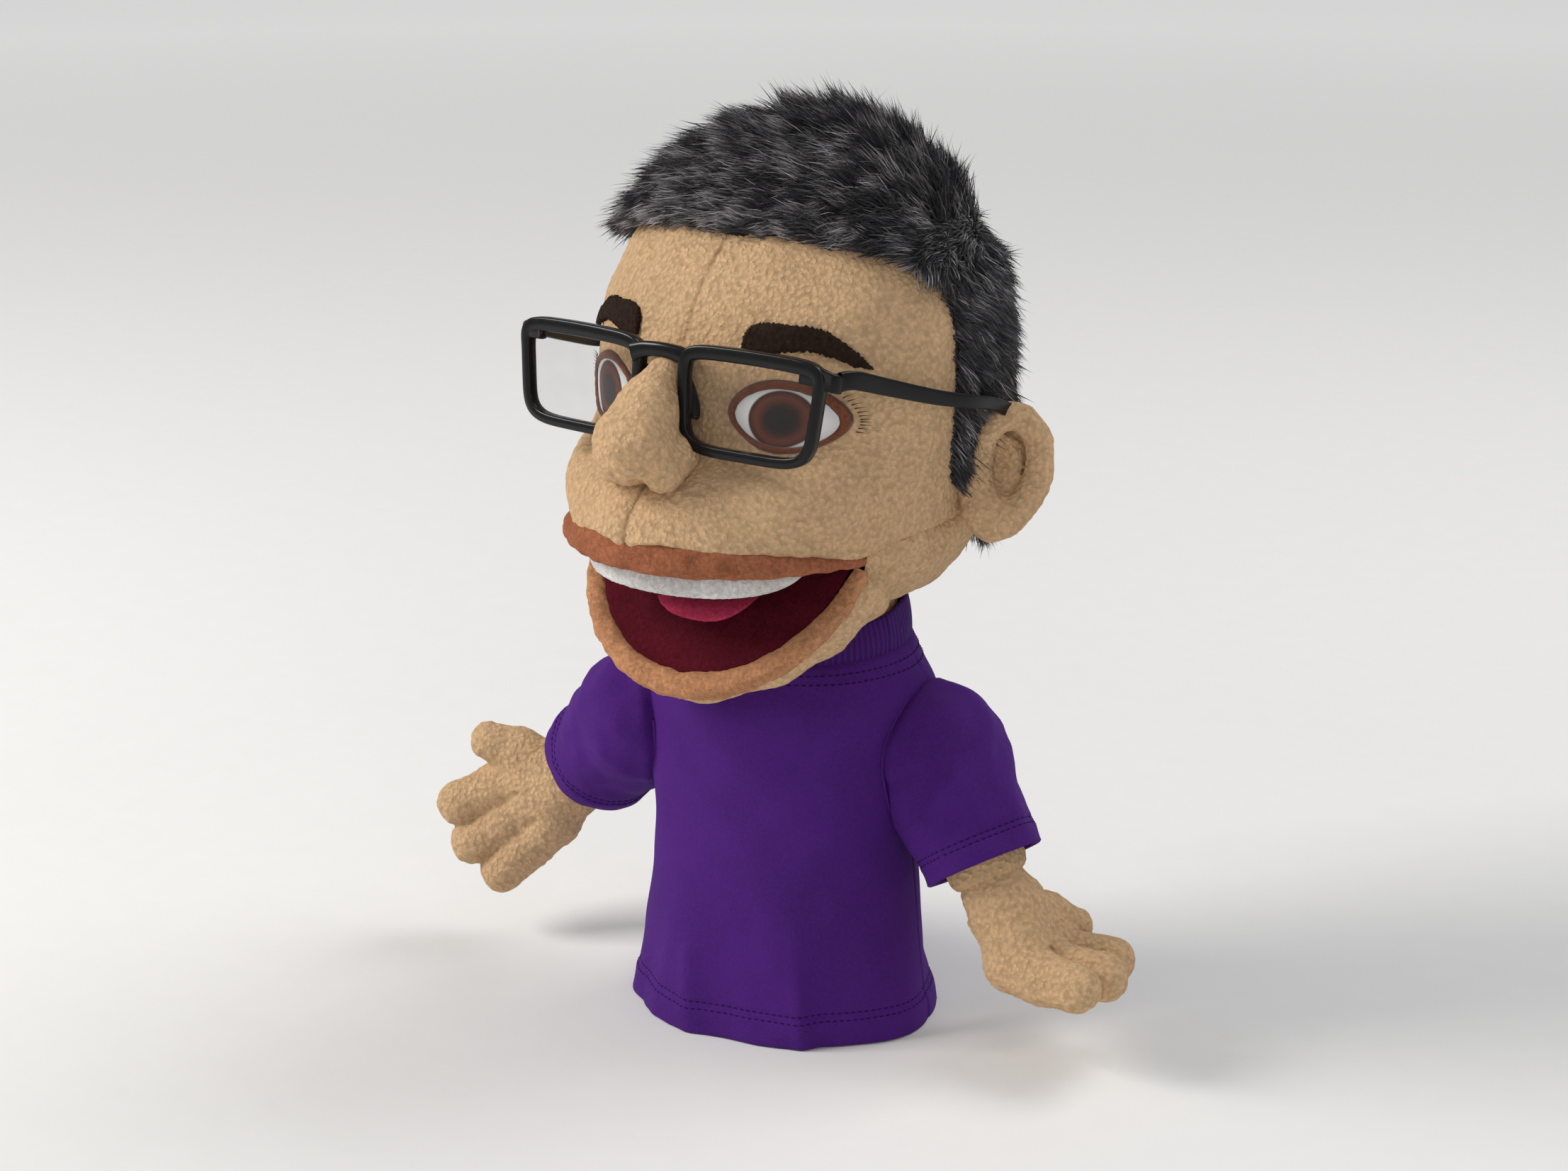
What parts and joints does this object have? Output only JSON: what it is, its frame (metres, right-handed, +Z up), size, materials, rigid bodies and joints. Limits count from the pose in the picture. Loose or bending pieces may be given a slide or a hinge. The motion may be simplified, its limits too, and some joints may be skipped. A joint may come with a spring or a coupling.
{
  "type": "moving mouth hand puppet",
  "caption": "Soft glove puppet with a hinged mouth, furry hair, spectacles, a T-shirt and mitt hands, worked by a hand from below.",
  "frame": {"origin": "middle of the hand opening, on the surface that the puppet stands on", "axes": "+Z up, the face looks along -Y, the puppet's left hand is on the +X side"},
  "size_m": [0.2972, 0.1914, 0.347],
  "materials": {
    "skin_fleece": "short nubbly fleece",
    "jersey": "cotton jersey",
    "fur": "long pile fur with light tips",
    "foam": "soft foam",
    "lip_plush": "short plush",
    "lid_plush": "short plush",
    "brown_felt": "felt",
    "maroon_felt": "felt",
    "rose_felt": "felt",
    "white_felt": "felt",
    "eye_print": "printed cloth",
    "mouth_board": "stiff board",
    "black_plastic": "polished",
    "clear_lens": "clear plastic lens",
    "steel": "screw"
  },
  "bodies": {
    "torso": {"body_tube": "foam", "hand_opening_binding": "skin_fleece", "shirt_front": "jersey", "shirt_back": "jersey", "collar_rib": "jersey"},
    "neck": {"neck_tube": "skin_fleece"},
    "head": {"head_foam": "foam", "face_panel_left": "skin_fleece", "face_panel_right": "skin_fleece", "nose": "skin_fleece", "ear_left": "skin_fleece", "ear_right": "skin_fleece", "eye_patch_left": "eye_print", "eye_patch_right": "eye_print", "eyelid_ring_left": "lid_plush", "eyelid_ring_right": "lid_plush", "eyebrow_left": "brown_felt", "eyebrow_right": "brown_felt", "wig_crown": "fur", "wig_back": "fur", "upper_mouth_board": "mouth_board", "upper_mouth_lining": "maroon_felt", "mouth_hinge_tape": "maroon_felt", "upper_lip": "lip_plush", "teeth_strip": "white_felt", "finger_pocket": "maroon_felt"},
    "jaw": {"jaw_cover": "skin_fleece", "lower_mouth_board": "mouth_board", "lower_mouth_lining": "maroon_felt", "lower_lip": "lip_plush", "tongue": "rose_felt", "thumb_pocket": "maroon_felt"},
    "spectacles": {"spectacle_front": "black_plastic", "lens_left": "clear_lens", "lens_right": "clear_lens", "temple_screws": "steel"},
    "temple_left": {"temple_left": "black_plastic"},
    "temple_right": {"temple_right": "black_plastic"},
    "arm_left": {"sleeve_left": "jersey", "arm_left": "skin_fleece"},
    "arm_right": {"sleeve_right": "jersey", "arm_right": "skin_fleece"},
    "hand_left": {"hand_left": "skin_fleece"},
    "hand_right": {"hand_right": "skin_fleece"}
  },
  "joints": [
    {"name": "head_turn", "type": "hinge", "parent": "torso", "child": "neck", "pos_m": [-0.00331, 0.01154, 0.16], "axis": [0, 0, 1], "range_deg": [-25, 25], "stiffness_Nm_per_rad": 6},
    {"name": "head_nod", "type": "hinge", "parent": "neck", "child": "head", "pos_m": [-0.00331, 0.01154, 0.16], "axis": [1, 0, 0], "range_deg": [-10, 6], "stiffness_Nm_per_rad": 12},
    {"name": "mouth_open", "type": "hinge", "parent": "head", "child": "jaw", "pos_m": [0, -0.03, 0.192], "axis": [1, 0, 0], "range_deg": [-33, 6], "stiffness_Nm_per_rad": 1.5},
    {"name": "spectacles_lift_off", "type": "slide", "parent": "head", "child": "spectacles", "axis": [0, -0.7071, 0.7071], "range_m": [0, 0.06]},
    {"name": "temple_left_flex", "type": "hinge", "parent": "spectacles", "child": "temple_left", "pos_m": [0.0675, -0.06069, 0.266], "axis": [0, 0, -1], "range_deg": [0, 3]},
    {"name": "temple_right_flex", "type": "hinge", "parent": "spectacles", "child": "temple_right", "pos_m": [-0.0675, -0.06069, 0.266], "axis": [0, 0, 1], "range_deg": [0, 3]},
    {"name": "arm_left_raise", "type": "hinge", "parent": "torso", "child": "arm_left", "pos_m": [0.05657, 0.02038, 0.108], "axis": [-0.1908, -0.9816, 0], "range_deg": [-6, 35], "stiffness_Nm_per_rad": 1.5},
    {"name": "arm_right_raise", "type": "hinge", "parent": "torso", "child": "arm_right", "pos_m": [-0.05878, -0.01269, 0.108], "axis": [0.309, 0.9511, 0], "range_deg": [-6, 30], "stiffness_Nm_per_rad": 1.5},
    {"name": "wrist_left_bend", "type": "hinge", "parent": "arm_left", "child": "hand_left", "pos_m": [0.08731, 0.01441, 0.06157], "axis": [0.1603, -0.9855, 0.0561], "range_deg": [-15, 20], "stiffness_Nm_per_rad": 0.5},
    {"name": "wrist_right_bend", "type": "hinge", "parent": "arm_right", "child": "hand_right", "pos_m": [-0.09958, 0.00056, 0.072], "axis": [-0.5829, -0.1324, 0.8017], "range_deg": [-15, 12], "stiffness_Nm_per_rad": 0.5}
  ]
}
